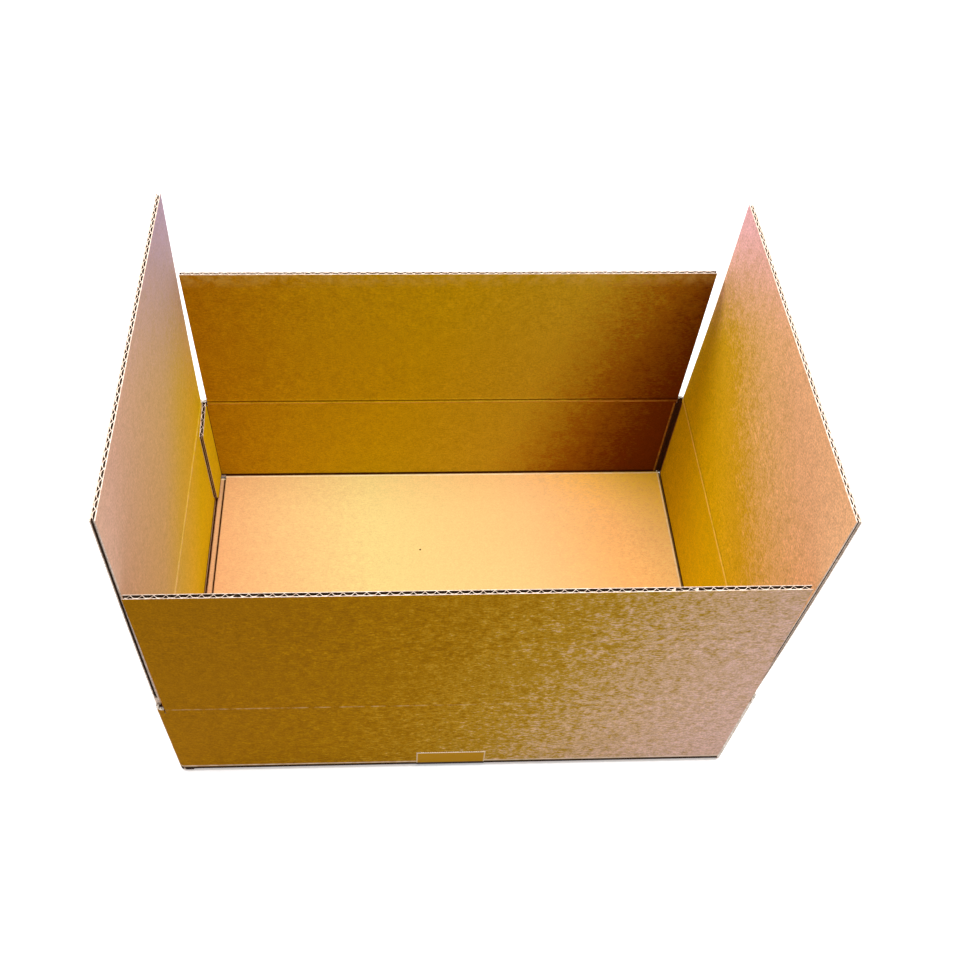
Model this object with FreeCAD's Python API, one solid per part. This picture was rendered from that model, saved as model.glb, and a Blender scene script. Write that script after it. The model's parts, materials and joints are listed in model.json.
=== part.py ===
"""An open shipping box of single-wall corrugated board: one folded and glued sheet with four top flaps.

The box stands on its taped bottom. X runs along its length, Y from front to back and Z up. The origin
is the middle of the base, on the surface that the box stands on. All sizes are in millimetres.
"""
import FreeCAD
import Part
import math
import os

V = FreeCAD.Vector

# Board: two liners with a wave of paper glued between them
board = 3.0               # thickness of the board
paper = 0.25              # thickness of each liner and of the wave
flute_pitch = 6.35        # from one crest of the wave to the next
crest = 1.15              # width of a crest where it is glued to its liner
crest_round = 0.45        # how far below its crest the wave starts to round over
edge_notch = 2.0          # depth of the open groove where a cut runs along a flute
layer_gap = 0.2           # air between two layers of board that lie on each other

# Outside of the box, measured over the board
length = 387.0
depth = 265.0
crease_height = 99.0      # of the front and back creases above the surface that the box stands on
fold_radius = 4.0         # outside of a standing corner
inner_radius = 1.0        # inside of a standing corner
bottom_radius = 2.0       # outside of a fold at the base

# Top flaps
meeting_gap = 1.0         # between the front and back flaps when they are folded shut
end_meeting_gap = 2.0     # between the two end flaps when they are folded shut
end_seam_shift = 4.5      # how far that meeting lies to the right of the middle
front_gaps = (6.0, 3.9)   # from the outside of the left and right walls to the ends of the front flap
back_gaps = (7.1, 6.4)
end_flap_gap = 4.8        # from the outside of the front and back walls to the ends of an end flap
front_lean = 0.6          # degrees that the flap leans inward from upright
back_lean = 0.6
left_lean = 1.2
right_lean = -1.0         # this one leans outward
crush_band = 9.0          # flattened board beside a crease, where the flutes end
crease_clearance = 0.1    # from the hinge line to the board on either side of it
mitre_angle = 45.5        # of each side of the score, so that its two sides clear when folded shut
slot_clearance = 0.6      # beyond each end of a flap

# Bottom flaps
outer_flap_gap = 3.0      # from the outside of the front and back walls to the two end flaps
inner_flap_gaps = (10.0, 3.8)  # from the outside of the left and right walls to the front and back flaps
seam_gap = 1.0            # between two bottom flaps that meet

# Glue tab: the end of the sheet, lapped inside the left wall
tab_width = 32.5
tab_drop = 6.0            # how far the top of the tab slants down over its width
tab_cut = 8.0             # height of the slanted cut at its lower corner
tab_cut_run = 4.0

# Closing tape, which runs from front to back over the middle seam
tape_width = 48.0
tape_thickness = 0.1
tape_turn_up = 25.0       # how far it climbs the front and back walls
tape_shift = -2.5         # it was stuck on a little left of the middle
tape_clearance = 0.05     # between it and the rounded fold that it passes

# Worked out from these
half_length = length / 2
half_depth = depth / 2
end_crease_height = crease_height + board + layer_gap
front_back_reach = half_depth - meeting_gap / 2
left_reach = half_length + end_seam_shift - end_meeting_gap / 2
right_reach = half_length - end_seam_shift - end_meeting_gap / 2
front_span = (front_gaps[0] - half_length, half_length - front_gaps[1])
back_span = (back_gaps[0] - half_length, half_length - back_gaps[1])
end_flap_width = depth - 2 * end_flap_gap
outer_flap_width = depth - 2 * outer_flap_gap
inner_flap_span = (inner_flap_gaps[0] - half_length, half_length - inner_flap_gaps[1])
outer_flap_base = tape_thickness
inner_flap_base = outer_flap_base + board + layer_gap
mitre_slope = math.tan(math.radians(mitre_angle))


def block(x, y, z):
    """A box from three (low, high) pairs."""
    return Part.makeBox(x[1] - x[0], y[1] - y[0], z[1] - z[0], V(x[0], y[0], z[0]))


def prism(points, travel):
    """A flat outline pushed along a straight line."""
    face = Part.Face(Part.makePolygon(points + points[:1]))
    return face.extrude(travel)


def rounded_column(x, y, z, radius):
    """A box with its four standing edges rounded."""
    solid = block(x, y, z)
    standing = [e for e in solid.Edges if abs(e.Vertexes[0].Z - e.Vertexes[1].Z) > 1e-6]
    return solid.makeFillet(radius, standing)


def corner_waste(radius, run):
    """What is taken off a square edge along +X to round it. The edge lies on the X axis, with the board
    towards +Y and +Z."""
    middle = radius * (1 - math.sqrt(0.5))
    arc = Part.Arc(V(0, radius, 0), V(0, middle, middle), V(0, 0, radius)).toShape()
    over = 1.0
    sides = Part.makePolygon([V(0, 0, radius), V(0, -over, radius), V(0, -over, -over),
                              V(0, radius, -over), V(0, radius, 0)])
    return Part.Face(Part.Wire([arc] + sides.Edges)).extrude(V(run, 0, 0))


def score_waste(run):
    """What is taken off the top of a wall along +X to make its side of the score. The hinge line lies on
    the X axis, the outside of the wall faces -Y and the wall stands below."""
    over = 1.0
    inner_edge = -crease_clearance - (board + over) * mitre_slope
    outline = [V(0, -over, over), V(0, -over, -crease_clearance), V(0, 0, -crease_clearance),
               V(0, board + over, inner_edge), V(0, board + over, over)]
    return prism(outline, V(run, 0, 0))


def turned(shape, angle, x, y, z):
    """The shape turned about the origin's Z axis, then moved."""
    shape.rotate(V(0, 0, 0), V(0, 0, 1), angle)
    shape.translate(V(x, y, z))
    return shape


def flute_outlines(width):
    """The openings that show at a cut across the flutes, as outlines in X and Y with Y through the board.
    Each pitch has one opening against the inner liner and one against the outer liner."""
    count = int((width - 2 * edge_notch - flute_pitch / 2) / flute_pitch) * 2
    first = width / 2 - (count - 1) * flute_pitch / 4
    wide = (flute_pitch - crest) / 2
    narrow = (crest - paper) / 2
    low, high = paper, board - 2 * paper
    side = (wide - narrow) / (high - low)
    shoulder = narrow + side * crest_round
    arch = [(wide, low), (shoulder, high - crest_round), (narrow / 3, high)]
    arch += [(-across, through) for across, through in reversed(arch)]
    outlines = []
    for i in range(count):
        x = first + i * flute_pitch / 2
        if i % 2 == 0:
            outlines.append([V(x + across, through, 0) for across, through in arch])
        else:
            outlines.append([V(x - across, board - through, 0) for across, through in arch])
    return outlines


def notched_outline(width):
    """The board's section across the flutes, with the open groove that a cut along a flute leaves."""
    a, b = paper, board - paper
    return [V(0, 0, 0), V(width, 0, 0), V(width, a, 0), V(width - edge_notch, a, 0),
            V(width - edge_notch / 2, b, 0), V(width, b, 0), V(width, board, 0), V(0, board, 0),
            V(0, b, 0), V(edge_notch, b, 0), V(edge_notch / 2, a, 0), V(0, a, 0)]


def flap(width, reach):
    """A top flap standing upright on its hinge line, which is the X axis. Its outside faces -Y."""
    foot = [V(0, 0, crease_clearance), V(0, board, crease_clearance + board * mitre_slope),
            V(0, board, crush_band), V(0, 0, crush_band)]
    band = prism(foot, V(width, 0, 0))
    outline = notched_outline(width)
    wires = [Part.makePolygon(outline + outline[:1])]
    for hole in flute_outlines(width):
        wires.append(Part.makePolygon(hole + hole[:1]))
    section = Part.Face(wires, "Part::FaceMakerBullseye")
    section.translate(V(0, 0, crush_band))
    fluted = section.extrude(V(0, 0, reach - crush_band))
    return band.fuse(fluted)


def leaning(shape, lean):
    """The flap tipped inward about its hinge line."""
    shape.rotate(V(0, 0, 0), V(1, 0, 0), -lean)
    return shape


def front_flap():
    shape = leaning(flap(front_span[1] - front_span[0], front_back_reach), front_lean)
    return turned(shape, 0, front_span[0], -half_depth, crease_height)


def back_flap():
    shape = leaning(flap(back_span[1] - back_span[0], front_back_reach), back_lean)
    return turned(shape, 180, back_span[1], half_depth, crease_height)


def left_flap():
    shape = leaning(flap(end_flap_width, left_reach), left_lean)
    return turned(shape, -90, -half_length, end_flap_width / 2, end_crease_height)


def right_flap():
    shape = leaning(flap(end_flap_width, right_reach), right_lean)
    return turned(shape, 90, half_length, -end_flap_width / 2, end_crease_height)


def standing_walls():
    """The four walls between their creases, with the standing folds, and without the corner of the tab."""
    z = (inner_flap_base, crease_height)
    outside = rounded_column((-half_length, half_length), (-half_depth, half_depth), z, fold_radius)
    inside = rounded_column((board - half_length, half_length - board),
                            (board - half_depth, half_depth - board), z, inner_radius)
    ring = outside.cut(inside)
    tab_corner = block((-half_length - 1, 2 * board - half_length),
                       (half_depth - fold_radius, half_depth + 1), z)
    return ring.cut(tab_corner)


def tab_fold():
    """The standing fold from the back wall into the glue tab, and the cut end of the left wall beside it."""
    z = (inner_flap_base, crease_height)
    y = (half_depth - fold_radius, half_depth)
    x0 = board - half_length
    bend = block((x0, x0 + board), y, z)
    corner = [e for e in bend.Edges
              if all(math.hypot(v.X - x0, v.Y - half_depth) < 1e-6 for v in e.Vertexes)]
    bend = bend.makeFillet(board - inner_radius, corner)
    wall_end = block((-half_length, x0), (y[0], y[1] - layer_gap), z)
    return [bend, wall_end]


def glue_tab():
    """The tab against the inside of the left wall, with flutes open at its slanted top."""
    back = half_depth - board
    front = half_depth - tab_width
    top, low = crease_height - 1.0, inner_flap_base + board + layer_gap
    x0, x1 = board - half_length, 2 * board - half_length
    slant = tab_drop / (back - front)
    outline = [V(x0, back, low), V(x0, back, top), V(x0, front, top - tab_drop),
               V(x0, front, low + tab_cut), V(x0, front + tab_cut_run, low)]
    tab = prism(outline, V(board, 0, 0))
    groove = block((x0 + paper, x1 - paper), (front - 1, front + edge_notch / 2), (low, top))
    tab = tab.cut(groove)
    openings = []
    open_depth = 12.0
    for hole in flute_outlines(back - front):
        y = [front + v.x for v in hole]
        reach = top - tab_drop + slant * (sum(y) / len(y) - front)
        corners = [V(x0 + v.y, front + v.x, reach - open_depth) for v in hole]
        openings.append(prism(corners, V(0, 0, open_depth + tab_drop)))
    return tab.cut(openings)


def end_wall_heads():
    """The top of each end wall, which stands one board higher than the front and back walls."""
    half = end_flap_width / 2 + slot_clearance
    z = (crease_height - 1, end_crease_height)
    return [block((-half_length, board - half_length), (-half, half), z),
            block((half_length - board, half_length), (-half, half), z)]


def outer_bottom_flaps():
    """The end flaps of the bottom, folded in last, so that they lie outside."""
    half = outer_flap_width / 2
    z = (outer_flap_base, outer_flap_base + board)
    flaps = []
    for side in (-1, 1):
        x = sorted((side * half_length, side * seam_gap / 2))
        wall_x = sorted((side * half_length, side * (half_length - board)))
        plate = block(x, (-half, half), z)
        foot = block(wall_x, (-half, half), (z[0], inner_flap_base + 1))
        flaps += [plate, foot]
    return flaps


def inner_bottom_flaps():
    """The front and back flaps of the bottom, folded in first, so that they are the floor inside."""
    z = (inner_flap_base, inner_flap_base + board)
    return [block(inner_flap_span, (-half_depth, -seam_gap / 2), z),
            block(inner_flap_span, (seam_gap / 2, half_depth), z)]


def fold_roundings():
    """What is taken off along the folds at the base."""
    left_end, right_end = inner_flap_span
    run = right_end - left_end
    front = turned(corner_waste(bottom_radius, run), 0, left_end, -half_depth, inner_flap_base)
    back = turned(corner_waste(bottom_radius, run), 180, right_end, half_depth, inner_flap_base)
    half = outer_flap_width / 2
    left = turned(corner_waste(bottom_radius, outer_flap_width), -90, -half_length, half, outer_flap_base)
    right = turned(corner_waste(bottom_radius, outer_flap_width), 90, half_length, -half, outer_flap_base)
    return [front, back, left, right]


def score_cuts():
    """What is taken off the tops of the walls for the scores, a little longer than the flaps."""
    beyond = 2 * slot_clearance
    front = turned(score_waste(front_span[1] - front_span[0] + beyond), 0,
                   front_span[0] - slot_clearance, -half_depth, crease_height)
    back = turned(score_waste(back_span[1] - back_span[0] + beyond), 180,
                  back_span[1] + slot_clearance, half_depth, crease_height)
    end_run = end_flap_width + 2 * beyond
    left = turned(score_waste(end_run), -90, -half_length, end_run / 2, end_crease_height)
    right = turned(score_waste(end_run), 90, half_length, -end_run / 2, end_crease_height)
    return [front, back, left, right]


def cut_edge_grooves():
    """The open flute along each cut edge of the bottom flaps, and down the cut end of the left wall."""
    middle = (paper, board - paper)
    outer_z = (outer_flap_base + middle[0], outer_flap_base + middle[1])
    inner_z = (inner_flap_base + middle[0], inner_flap_base + middle[1])
    grooves = []
    clear_of_fold = board + bottom_radius
    edge = outer_flap_width / 2
    for side in (-1, 1):
        y = sorted((side * (edge - edge_notch), side * (edge + 1)))
        grooves.append(block((clear_of_fold - half_length, half_length - clear_of_fold), y, outer_z))
        for x in ((inner_flap_span[0] - 1, inner_flap_span[0] + edge_notch),
                  (inner_flap_span[1] - edge_notch, inner_flap_span[1] + 1)):
            along = sorted((side * (half_depth - clear_of_fold), side * seam_gap / 4))
            grooves.append(block(x, along, inner_z))
    end = half_depth - layer_gap
    x = (middle[0] - half_length, middle[1] - half_length)
    grooves.append(block(x, (end - edge_notch, half_depth + 1), (inner_flap_base - 1, crease_height + 1)))
    return grooves


def box_body():
    """Walls, bottom flaps and glue tab: one sheet, folded and glued, so one solid."""
    joined = tab_fold() + [glue_tab()] + end_wall_heads() + outer_bottom_flaps() + inner_bottom_flaps()
    sheet = standing_walls().fuse(joined)
    sheet = sheet.cut(fold_roundings() + score_cuts() + cut_edge_grooves())
    return sheet.removeSplitter()


def tape_corner(edge):
    """How high up the wall the tape leaves it. From there it runs straight to the edge of the outer flaps,
    just under the rounded fold of the inner flap."""
    across = half_depth - bottom_radius - edge
    up = inner_flap_base + bottom_radius - tape_thickness
    passing = (bottom_radius + tape_clearance) / math.hypot(across, up)
    direction = math.atan2(up, -across) + math.asin(passing)
    return tape_thickness - (half_depth - edge) * math.tan(direction)


def bottom_tape():
    """One strip of tape: under the middle seam and a little way up the front and back walls."""
    edge = outer_flap_width / 2
    corner_rise = tape_corner(edge)
    skin = tape_thickness
    outside = [V(0, -half_depth - skin, tape_turn_up), V(0, -half_depth - skin, corner_rise), V(0, -edge, 0),
               V(0, edge, 0), V(0, half_depth + skin, corner_rise), V(0, half_depth + skin, tape_turn_up)]
    inside = [V(0, half_depth, tape_turn_up), V(0, half_depth, corner_rise), V(0, edge, skin),
              V(0, -edge, skin), V(0, -half_depth, corner_rise), V(0, -half_depth, tape_turn_up)]
    strip = prism(outside + inside, V(tape_width, 0, 0))
    strip.translate(V(tape_shift - tape_width / 2, 0, 0))
    return strip


os.makedirs("parts", exist_ok=True)
for make in (box_body, front_flap, back_flap, left_flap, right_flap, bottom_tape):
    piece = make()
    piece.exportStep("parts/" + make.__name__ + ".step")
    print(make.__name__, "solids", len(piece.Solids), "faces", len(piece.Faces),
          "volume", round(piece.Volume, 1), "valid", piece.isValid())
print("outward limits", [round(math.degrees(math.acos(-(h - board / 4) / r)), 1) for h, r in
                         ((crease_height, front_back_reach), (end_crease_height, left_reach),
                          (end_crease_height, right_reach))])
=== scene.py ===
# %% [markdown]
# # An open corrugated box
#
# The box is one sheet of brown corrugated board, creased, folded and glued. Its bottom is shut and taped,
# and its four top flaps stand up. The construction model gives the sizes and the hinges. This script keeps
# them and makes the board itself: two liners, the wave of paper between them, crushed creases, cut edges.

import json
import math

import bmesh
import bpy
from mathutils import Matrix, Vector, noise


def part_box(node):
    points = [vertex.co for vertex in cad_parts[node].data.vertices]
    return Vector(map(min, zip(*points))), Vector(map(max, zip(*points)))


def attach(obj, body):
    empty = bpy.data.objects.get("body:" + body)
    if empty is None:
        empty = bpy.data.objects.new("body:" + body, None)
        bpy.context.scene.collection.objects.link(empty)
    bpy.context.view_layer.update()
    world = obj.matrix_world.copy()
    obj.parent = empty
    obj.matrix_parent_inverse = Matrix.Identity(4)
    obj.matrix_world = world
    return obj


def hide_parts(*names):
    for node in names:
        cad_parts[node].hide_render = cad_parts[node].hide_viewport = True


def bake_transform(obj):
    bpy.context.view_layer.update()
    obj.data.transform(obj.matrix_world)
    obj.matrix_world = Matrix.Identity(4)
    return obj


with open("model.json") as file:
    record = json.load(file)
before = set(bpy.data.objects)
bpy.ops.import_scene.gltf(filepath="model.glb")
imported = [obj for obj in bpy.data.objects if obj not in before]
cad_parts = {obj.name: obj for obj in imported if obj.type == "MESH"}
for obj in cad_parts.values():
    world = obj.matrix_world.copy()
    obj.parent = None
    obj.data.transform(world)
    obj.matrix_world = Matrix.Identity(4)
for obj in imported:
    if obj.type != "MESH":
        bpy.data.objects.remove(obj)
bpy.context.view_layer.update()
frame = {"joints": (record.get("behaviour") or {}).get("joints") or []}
mm = 0.001

# %% [markdown]
# ## The sizes that everything shares
#
# Board is sold by its thickness and its flute. This is a 3 mm board whose wave repeats every 6.35 mm. The
# paper is drawn about twice as thick as it is, so that the pale cut of each liner still shows as a line.

# %% Name the board's sizes
board = 3.0 * mm
pitch = 6.35 * mm
liner = 0.42 * mm
wave_paper = 0.42 * mm
crease_reach = 4.5 * mm     # half the height of the strip that is crushed when the crease is pressed
hinges = {joint["child"]: Vector(joint["pos_m"]) for joint in frame["joints"]}
half_length = -hinges["left_flap"].x
half_depth = -hinges["front_flap"].y
crease_z = hinges["front_flap"].z
end_crease_z = hinges["left_flap"].z
print("outside, mm:", round(2 * half_length / mm, 1), "x", round(2 * half_depth / mm, 1))

# %% [markdown]
# ## The camera
#
# The picture looks down into the box from in front, from about 0.84 m away. A camera in Blender looks
# along its own -Z with +Y up, so its turn is written as three rows: right, up and back.

# %% Place the camera
image_width = 960.0
focal_px = 1053.3
principal = (433.0, 486.3)
camera_data = bpy.data.cameras.new("camera")
camera_data.sensor_width = 36.0
camera_data.lens = focal_px / image_width * camera_data.sensor_width
camera_data.shift_x = (image_width / 2 - principal[0]) / image_width
camera_data.shift_y = (principal[1] - image_width / 2) / image_width
camera = bpy.data.objects.new("camera", camera_data)
right = Vector((0.9992, -0.03165, 0.02427))
down = Vector((-0.01042, -0.79456, -0.6071))
forward = Vector((0.0385, 0.60636, -0.79425))
turn = Matrix((right, -down, -forward)).transposed().to_4x4()
camera.matrix_world = Matrix.Translation((-0.0415, -0.4306, 0.7208)) @ turn
bpy.context.scene.collection.objects.link(camera)
bpy.context.scene.camera = camera
print("lens, mm:", round(camera_data.lens, 2))

# %% [markdown]
# ## Colours and nodes
#
# Colours are written as the hex codes of a paint chart, which are sRGB, and Blender's shaders want linear
# light, so one function turns them. One more function adds a node with its settings and its links, which
# keeps each material short enough to read.

# %% Colour and node helpers
def linear(code, alpha=1.0):
    """A hex colour as the linear RGBA that a shader socket takes."""
    channels = [int(code[i:i + 2], 16) / 255 for i in (1, 3, 5)]
    return tuple(c / 12.92 if c <= 0.04045 else ((c + 0.055) / 1.055) ** 2.4 for c in channels) + (alpha,)


def add_node(tree, kind, inputs=None, **settings):
    """Adds a node. A value in inputs is set on that socket, and an output socket is linked to it."""
    node = tree.nodes.new(kind)
    for name, value in settings.items():
        setattr(node, name, value)
    for name, value in (inputs or {}).items():
        if isinstance(value, bpy.types.NodeSocket):
            tree.links.new(value, node.inputs[name])
        else:
            node.inputs[name].default_value = value
    return node


def new_material(name):
    """An empty material with its output and a Principled shader."""
    material = bpy.data.materials.new(name)
    material.use_nodes = True
    tree = material.node_tree
    tree.nodes.clear()
    shader = add_node(tree, "ShaderNodeBsdfPrincipled")
    add_node(tree, "ShaderNodeOutputMaterial", {"Surface": shader.outputs[0]})
    return material, tree, shader


def set_stops(color_ramp, stops):
    """Gives a colour ramp its stops, which are (place, hex) pairs."""
    while len(color_ramp.elements) < len(stops):
        color_ramp.elements.new(0.5)
    for element, (place, code) in zip(color_ramp.elements, stops):
        element.position = place
        element.color = linear(code)


colour_a, colour_b, mixed = 6, 7, 2     # a Mix node's sockets when it mixes colours
print("white as linear:", linear("#ffffff"))

# %% [markdown]
# ## Kraft liner
#
# The face of the board is kraft linerboard: unbleached brown paper pressed on a wire, matte, with fibres
# 2 to 4 mm long that lie along the machine's direction, which runs across the flutes. The eye sees short
# streaks, a soft mottle, and the faint ribs of the wave below. Fibres are drawn 1.1 mm wide, coarser than
# the real 0.03 mm, because finer ones would not show at this distance. Each liner has its own ramp of
# browns along a line through the box. On the sides in view this ramp paints the light and shade that fall
# there: darker near creases and corners, paler and pinker where the light is strongest, and the right
# flap's shadow on the back.

# %% A function for kraft liner
fibre_length, fibre_width = 3.0 * mm, 1.1 * mm
cloud, grit = 7.0 * mm, 1.1 * mm    # the sizes of the soft mottle and of the single flecks
cloud_share = 0.6                   # how much the clouds count beside the fibres
veil_break = 0.4                    # how much the mottle breaks the edge of a veil


def along_line(tree, place, start, end):
    """How far a place is along a line between two points in mm: 0 at its start and 1 at its end."""
    line = (Vector(end) - Vector(start)) * mm
    past = add_node(tree, "ShaderNodeVectorMath", {0: place, 1: Vector(start) * mm}, operation="SUBTRACT")
    return add_node(tree, "ShaderNodeVectorMath", {0: past.outputs[0], 1: line / line.length_squared},
                    operation="DOT_PRODUCT").outputs["Value"]


def kraft_liner(name, tones, start, end, grain="X", ribs="X", flecks=0.5, mottle=1.0,
                lines=(), painted_light_veils=(), specks=()):
    """Kraft linerboard. The ramp of tones runs from start to end, in mm, and on the sides in view paints the
    light and shade there. Flecks says how far the fibres mix neighbouring tones, and mottle how strong the
    light and dark flecks are. A line is (axis, place, half width, strength, colour): a pale or dark band,
    mostly painted highlight or painted shade along a crease, a fold or a corner, and sometimes pale wear.
    A veil is (start, end, colour): a second tone that comes in slowly and paints light on part of the
    panel. A speck is (x, y, z, radius)."""
    material, tree, shader = new_material(name)
    place = add_node(tree, "ShaderNodeTexCoord").outputs["Object"]
    axes = add_node(tree, "ShaderNodeSeparateXYZ", {"Vector": place}).outputs

    # Fibres that lie along the grain, soft clouds and fine grains. Drift is their mix around zero.
    stretch = [1 / fibre_width] * 3
    stretch["XYZ".index(grain)] = 1 / fibre_length
    fibre_place = add_node(tree, "ShaderNodeMapping", {"Vector": place, "Scale": stretch}).outputs[0]
    fibres = add_node(tree, "ShaderNodeTexNoise", {"Vector": fibre_place, "Scale": 1.0, "Detail": 4.0,
                                                   "Roughness": 0.6}).outputs[0]
    clouds = add_node(tree, "ShaderNodeTexNoise", {"Vector": place, "Scale": 1 / cloud, "Detail": 5.0,
                                                   "Roughness": 0.65}).outputs[0]
    grains = add_node(tree, "ShaderNodeTexNoise", {"Vector": place, "Scale": 1 / grit,
                                                   "Detail": 1.0}).outputs[0]
    both = add_node(tree, "ShaderNodeMath", {0: clouds, 1: cloud_share, 2: fibres},
                    operation="MULTIPLY_ADD").outputs[0]
    drift = add_node(tree, "ShaderNodeMath", {0: both, 1: 0.5 * (1 + cloud_share)},
                     operation="SUBTRACT").outputs[0]

    # The browns along the panel, then the veils over them; both paint light and shade on the panel.
    toned = add_node(tree, "ShaderNodeMath", {0: drift, 1: flecks, 2: along_line(tree, place, start, end)},
                     operation="MULTIPLY_ADD").outputs[0]
    browns = add_node(tree, "ShaderNodeValToRGB", {"Fac": toned})
    set_stops(browns.color_ramp, tones)
    colour = browns.outputs["Color"]
    for veil_start, veil_end, code in painted_light_veils:
        past = along_line(tree, place, veil_start, veil_end)
        past = add_node(tree, "ShaderNodeMath", {0: drift, 1: veil_break, 2: past},
                        operation="MULTIPLY_ADD").outputs[0]
        thick = add_node(tree, "ShaderNodeMapRange", {"Value": past},
                         interpolation_type="SMOOTHSTEP").outputs[0]
        colour = add_node(tree, "ShaderNodeMix", {"Factor": thick, colour_a: colour, colour_b: linear(code)},
                          data_type="RGBA").outputs[mixed]

    # Light and dark flecks, from the range that each noise keeps to and the strength of its light.
    for height, low, high, swing in ((both, 0.5, 1.1, 0.17 * mottle), (grains, 0.3, 0.7, 0.14 * mottle)):
        light = add_node(tree, "ShaderNodeMapRange", {"Value": height, "From Min": low, "From Max": high,
                                                      "To Min": 1 - swing, "To Max": 1 + swing}).outputs[0]
        colour = add_node(tree, "ShaderNodeVectorMath", {0: colour, "Scale": light},
                          operation="SCALE").outputs[0]

    # Lines that fade out over their half width and are broken where the clouds are thin, and specks.
    for axis, at, half_width, strength, code in lines:
        off = add_node(tree, "ShaderNodeMath", {0: axes[axis], 1: at * mm}, operation="SUBTRACT").outputs[0]
        off = add_node(tree, "ShaderNodeMath", {0: off}, operation="ABSOLUTE").outputs[0]
        near = add_node(tree, "ShaderNodeMapRange", {"Value": off, "From Max": half_width * mm,
                                                     "To Min": 1.0, "To Max": 0.0}).outputs[0]
        broken = add_node(tree, "ShaderNodeMapRange", {"Value": clouds, "From Min": 0.3, "From Max": 0.6,
                                                       "To Min": strength - 0.7,
                                                       "To Max": strength}).outputs[0]
        # How strongly a line shows here; the lines paint highlight and shade, and some also show wear.
        wear_and_painted_light = add_node(tree, "ShaderNodeMath", {0: near, 1: broken}, operation="MULTIPLY",
                        use_clamp=True).outputs[0]
        colour = add_node(tree, "ShaderNodeMix", {"Factor": wear_and_painted_light, colour_a: colour, colour_b: linear(code)},
                          data_type="RGBA").outputs[mixed]
    for x, y, z, radius in specks:
        off = add_node(tree, "ShaderNodeVectorMath", {0: place, 1: Vector((x, y, z)) * mm},
                       operation="DISTANCE").outputs["Value"]
        dark = add_node(tree, "ShaderNodeMath", {0: off, 1: radius * mm}, operation="LESS_THAN").outputs[0]
        colour = add_node(tree, "ShaderNodeMix", {"Factor": dark, colour_a: colour,
                                                  colour_b: linear("#5a3410")},
                          data_type="RGBA").outputs[mixed]
    tree.links.new(colour, shader.inputs["Base Color"])

    # The fibres and the ribs of the wave below also raise the surface.
    rib = add_node(tree, "ShaderNodeMath", {0: axes[ribs], 1: 2 * math.pi / pitch},
                   operation="MULTIPLY").outputs[0]
    rib = add_node(tree, "ShaderNodeMath", {0: rib}, operation="SINE").outputs[0]
    fibre_bump = add_node(tree, "ShaderNodeBump", {"Height": fibres, "Strength": 0.5,
                                                   "Distance": 0.12 * mm}).outputs[0]
    bump = add_node(tree, "ShaderNodeBump", {"Height": rib, "Strength": 0.5, "Distance": 0.02 * mm,
                                             "Normal": fibre_bump}).outputs[0]
    tree.links.new(bump, shader.inputs["Normal"])
    shader.inputs["Roughness"].default_value = 0.82
    shader.inputs["IOR"].default_value = 1.45
    shader.inputs["Specular IOR Level"].default_value = 0.02
    return material


print("fibres, mm:", round(fibre_length / mm, 1), "x", round(fibre_width / mm, 1))

# %% [markdown]
# ## Cut edges and the wave
#
# Where a knife cut the board, the liners show their pale inside and the wave shows as a zigzag with dark
# hollows. The wave is rougher recycled paper, called fluting or medium, and greyer than the liners.

# %% Cut edge and fluting materials
def plain_paper(name, dark, pale, mottle_size):
    """Paper with a fine mottle between two tones. The size of the mottle is in mm."""
    material, tree, shader = new_material(name)
    place = add_node(tree, "ShaderNodeTexCoord").outputs["Object"]
    mottle = add_node(tree, "ShaderNodeTexNoise", {"Vector": place, "Scale": 1 / (mottle_size * mm),
                                                   "Detail": 4.0}).outputs[0]
    tones = add_node(tree, "ShaderNodeValToRGB", {"Fac": mottle})
    set_stops(tones.color_ramp, [(0.32, dark), (0.68, pale)])
    tree.links.new(tones.outputs["Color"], shader.inputs["Base Color"])
    bump = add_node(tree, "ShaderNodeBump", {"Height": mottle, "Strength": 0.6, "Distance": 0.15 * mm})
    tree.links.new(bump.outputs[0], shader.inputs["Normal"])
    shader.inputs["Roughness"].default_value = 0.9
    shader.inputs["Specular IOR Level"].default_value = 0.25
    return material


cut_liner = plain_paper("cut liner edge", "#bca08a", "#eddccd", 1.6)
fluting = plain_paper("fluting medium", "#3c2a1e", "#6e5034", 1.2)
# The score's near-black paints the shade in the inner corners of the walls.
score_shadow = plain_paper("painted shade in a crushed score", "#2c1404", "#4a2709", 1.5)
# The bead beside it gets a mid tone between that shade and the wall, which paints the light and shade on the
# bead.
score_bead = plain_paper("raised bead beside a score", "#85561a", "#b4822e", 2.5)
# The torn flutes' near-black paints the shade in the hollows of the wave, between pale paper.
torn_flutes = plain_paper("torn flutes at a slot", "#1c120c", "#efe2d2", 0.9)
# The corner's pale tone is wear and also painted highlight: only the rounded outer corners on the right,
# towards the light, get it.
lit_worn_corner = plain_paper("worn corner of the sheet", "#b8a08a", "#f4ebe2", 1.8)
print("paper materials:", cut_liner.name, fluting.name, score_shadow.name, score_bead.name, torn_flutes.name,
      lit_worn_corner.name)

# %% Kraft liner materials, one for each side of the sheet, each toned with the light and shade of its side painted in
# Colours for lines: a pale one for wear and painted highlight, a dark brown one for painted shade in grooves,
# corners and gaps, and a dark grey one for painted shade under a fold.
wear_and_highlight, painted_shade, painted_fold_shade = "#ecd6bc", "#3a1c06", "#33261f"
# A pale line along the outer crease, which paints its highlight.
crease_line = ("Z", 98.8, 1.1, 0.42, "#e2c294")
# A dark line of painted shade in the corner where a wall meets the bottom flaps.
foot = ("Z", 6.8, 1.6, 1.9, painted_shade)        # where a wall meets the bottom flaps
# At the bottom fold: a pale line of wear and painted highlight, and below it painted shade where the fold
# turns under.
bottom_fold = [("Z", 9.4, 1.3, 1.1, wear_and_highlight), ("Z", 4.2, 5.0, 2.9, painted_fold_shade)]
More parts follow.
